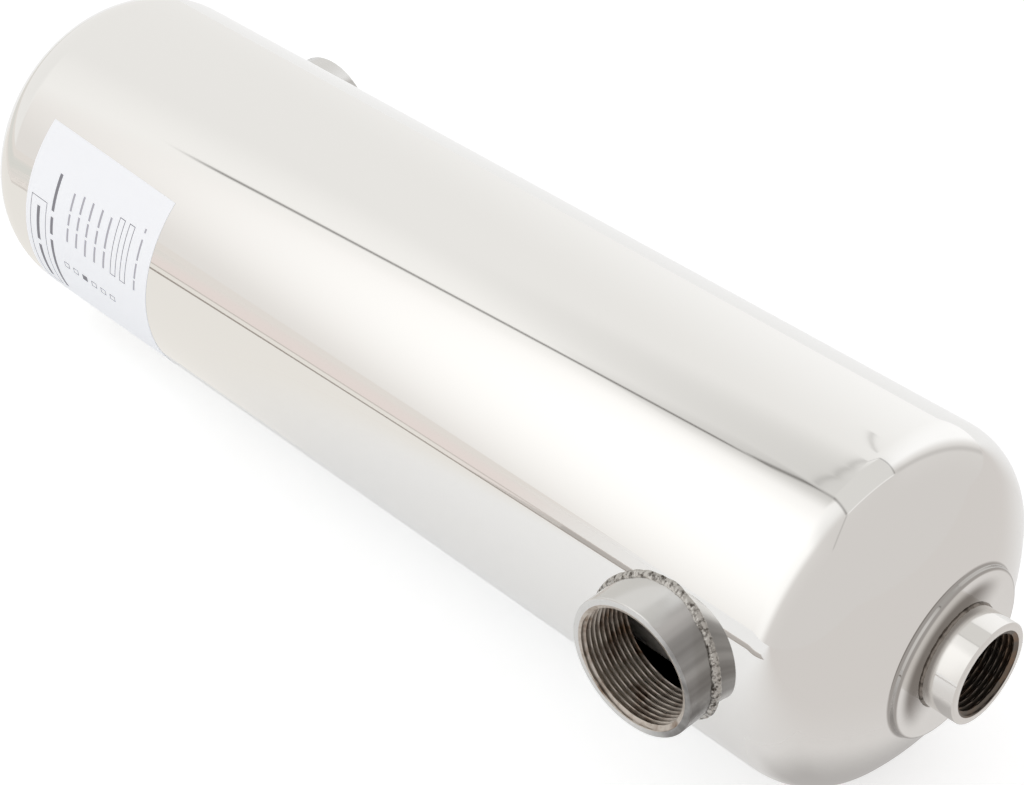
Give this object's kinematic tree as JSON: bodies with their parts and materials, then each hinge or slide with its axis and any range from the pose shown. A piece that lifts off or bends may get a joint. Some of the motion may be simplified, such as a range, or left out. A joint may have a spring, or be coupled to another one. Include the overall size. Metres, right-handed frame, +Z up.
{
  "type": "pool heat exchanger",
  "caption": "Long round polished steel shell lying on its side, with dished ends, a threaded coupling in the middle of each end, a wider one on each side, and straight tubes inside.",
  "frame": {"origin": "under the middle of the shell, on the surface it lies on", "axes": "+X along the shell axis towards the front end, +Y out of the rear side coupling, +Z up"},
  "size_m": [0.508, 0.1646, 0.14],
  "materials": {
    "polished_shell": "mirror polished stainless steel sheet",
    "turned_coupling": "turned stainless steel bar",
    "weld_metal": "bare rippled weld bead",
    "inner_steel": "bare drawn stainless steel"
  },
  "bodies": {
    "root": {"shell_barrel": "polished_shell", "front_end_cap": "polished_shell", "front_end_coupling": "turned_coupling", "front_side_coupling": "turned_coupling", "front_end_weld": "weld_metal", "front_side_weld": "weld_metal", "front_tube_sheet": "inner_steel", "rear_end_cap": "polished_shell", "rear_end_coupling": "turned_coupling", "rear_side_coupling": "turned_coupling", "rear_end_weld": "weld_metal", "rear_side_weld": "weld_metal", "rear_tube_sheet": "inner_steel", "tube_01": "inner_steel", "tube_02": "inner_steel", "tube_03": "inner_steel", "tube_04": "inner_steel", "tube_05": "inner_steel", "tube_06": "inner_steel", "tube_07": "inner_steel", "tube_08": "inner_steel", "tube_09": "inner_steel", "tube_10": "inner_steel", "tube_11": "inner_steel", "tube_12": "inner_steel", "tube_13": "inner_steel", "tube_14": "inner_steel", "tube_15": "inner_steel", "tube_16": "inner_steel", "tube_17": "inner_steel", "tube_18": "inner_steel", "tube_19": "inner_steel"}
  },
  "joints": []
}
